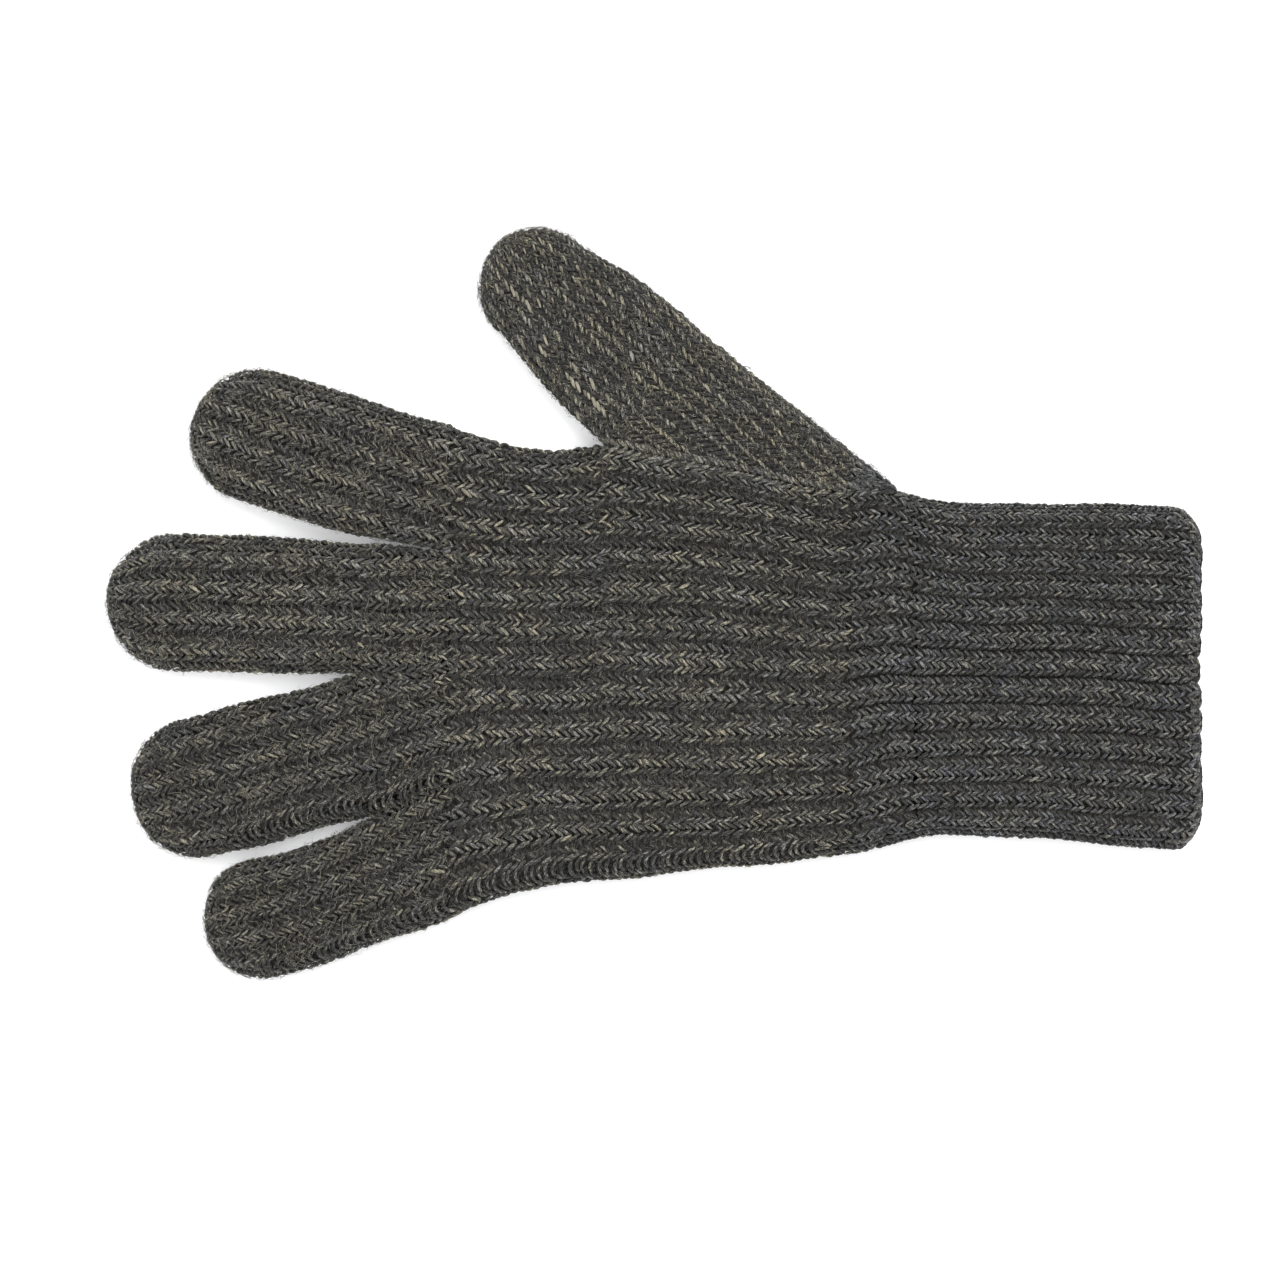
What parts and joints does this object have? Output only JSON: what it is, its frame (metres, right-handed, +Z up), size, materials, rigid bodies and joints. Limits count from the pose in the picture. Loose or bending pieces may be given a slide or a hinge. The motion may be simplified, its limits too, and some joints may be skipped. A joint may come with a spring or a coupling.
{
  "type": "knitted glove",
  "caption": "Hand-shaped knitted wool glove with a ribbed cuff, thumb gusset and five hollow fingers that bend at their roots, middles and tips.",
  "frame": {"origin": "centre of the bounding box, on the surface that the glove lies on", "axes": "+X from the fingers to the cuff, +Y to the thumb side, +Z up out of the palm, which faces up"},
  "size_m": [0.2699, 0.1846, 0.0105],
  "materials": {
    "hand_knit": "melange wool rib knit",
    "finger_knit": "melange wool rib knit",
    "thumb_knit": "melange wool plain knit, lightly worn",
    "cuff_knit": "melange wool tight rib knit",
    "closing_yarn": "twisted wool yarn"
  },
  "bodies": {
    "hand": {"palm_section": "hand_knit", "knuckle_section": "hand_knit", "thumb_crotch_stitches": "hand_knit", "index_middle_crotch_stitches": "hand_knit", "middle_ring_crotch_stitches": "hand_knit", "ring_little_crotch_stitches": "hand_knit"},
    "cuff": {"cuff_rib": "cuff_knit", "cuff_cast_on_edge": "cuff_knit", "cuff_yarn_tail": "closing_yarn"},
    "thumb_gusset": {"thumb_gusset": "thumb_knit"},
    "thumb_base": {"thumb_base": "thumb_knit"},
    "thumb_tip": {"thumb_tip": "thumb_knit", "thumb_tip_closure": "closing_yarn", "thumb_yarn_tail": "closing_yarn"},
    "index_base": {"index_base": "finger_knit"},
    "index_middle": {"index_middle": "finger_knit"},
    "index_tip": {"index_tip": "finger_knit", "index_tip_closure": "closing_yarn", "index_yarn_tail": "closing_yarn"},
    "middle_base": {"middle_base": "finger_knit"},
    "middle_middle": {"middle_middle": "finger_knit"},
    "middle_tip": {"middle_tip": "finger_knit", "middle_tip_closure": "closing_yarn", "middle_yarn_tail": "closing_yarn"},
    "ring_base": {"ring_base": "finger_knit"},
    "ring_middle": {"ring_middle": "finger_knit"},
    "ring_tip": {"ring_tip": "finger_knit", "ring_tip_closure": "closing_yarn", "ring_yarn_tail": "closing_yarn"},
    "little_base": {"little_base": "finger_knit"},
    "little_middle": {"little_middle": "finger_knit"},
    "little_tip": {"little_tip": "finger_knit", "little_tip_closure": "closing_yarn", "little_yarn_tail": "closing_yarn"}
  },
  "joints": [
    {"name": "wrist_bend", "type": "hinge", "parent": "hand", "child": "cuff", "pos_m": [0.0486, -0.013, 0.0105], "axis": [0, -1, 0], "range_deg": [0, 80]},
    {"name": "thumb_fold", "type": "hinge", "parent": "hand", "child": "thumb_gusset", "pos_m": [0.01725, 0.0327, 0.0105], "axis": [-0.9809, 0.1945, 0], "range_deg": [-80, 0]},
    {"name": "thumb_root_bend", "type": "hinge", "parent": "thumb_gusset", "child": "thumb_base", "pos_m": [0.00056, 0.05207, 0.0105], "axis": [-0.6678, -0.7443, 0], "range_deg": [-50, 0]},
    {"name": "thumb_tip_bend", "type": "hinge", "parent": "thumb_base", "child": "thumb_tip", "pos_m": [-0.01562, 0.06659, 0.0105], "axis": [-0.6678, -0.7443, 0], "range_deg": [-70, 0]},
    {"name": "index_root_bend", "type": "hinge", "parent": "hand", "child": "index_base", "pos_m": [-0.05, 0.028, 0.0105], "axis": [0, 1, 0], "range_deg": [0, 85]},
    {"name": "index_middle_bend", "type": "hinge", "parent": "index_base", "child": "index_middle", "pos_m": [-0.075, 0.0345, 0.0105], "axis": [0, 1, 0], "range_deg": [0, 90]},
    {"name": "index_tip_bend", "type": "hinge", "parent": "index_middle", "child": "index_tip", "pos_m": [-0.092, 0.039, 0.0105], "axis": [0, 1, 0], "range_deg": [0, 50]},
    {"name": "middle_root_bend", "type": "hinge", "parent": "hand", "child": "middle_base", "pos_m": [-0.05, -0.0023, 0.0105], "axis": [0, 1, 0], "range_deg": [0, 85]},
    {"name": "middle_middle_bend", "type": "hinge", "parent": "middle_base", "child": "middle_middle", "pos_m": [-0.075, -0.0012, 0.0105], "axis": [0, 1, 0], "range_deg": [0, 90]},
    {"name": "middle_tip_bend", "type": "hinge", "parent": "middle_middle", "child": "middle_tip", "pos_m": [-0.104, -0.0006, 0.0105], "axis": [0, 1, 0], "range_deg": [0, 50]},
    {"name": "ring_root_bend", "type": "hinge", "parent": "hand", "child": "ring_base", "pos_m": [-0.05, -0.0294, 0.0105], "axis": [0, 1, 0], "range_deg": [0, 85]},
    {"name": "ring_middle_bend", "type": "hinge", "parent": "ring_base", "child": "ring_middle", "pos_m": [-0.075, -0.036, 0.0105], "axis": [0, 1, 0], "range_deg": [0, 90]},
    {"name": "ring_tip_bend", "type": "hinge", "parent": "ring_middle", "child": "ring_tip", "pos_m": [-0.099, -0.0435, 0.0105], "axis": [0, 1, 0], "range_deg": [0, 50]},
    {"name": "little_root_bend", "type": "hinge", "parent": "hand", "child": "little_base", "pos_m": [-0.05, -0.0613, 0.0105], "axis": [0, 1, 0], "range_deg": [0, 85]},
    {"name": "little_middle_bend", "type": "hinge", "parent": "little_base", "child": "little_middle", "pos_m": [-0.075, -0.0727, 0.0105], "axis": [0, 1, 0], "range_deg": [0, 90]},
    {"name": "little_tip_bend", "type": "hinge", "parent": "little_middle", "child": "little_tip", "pos_m": [-0.091, -0.078, 0.0105], "axis": [0, 1, 0], "range_deg": [0, 50]}
  ]
}
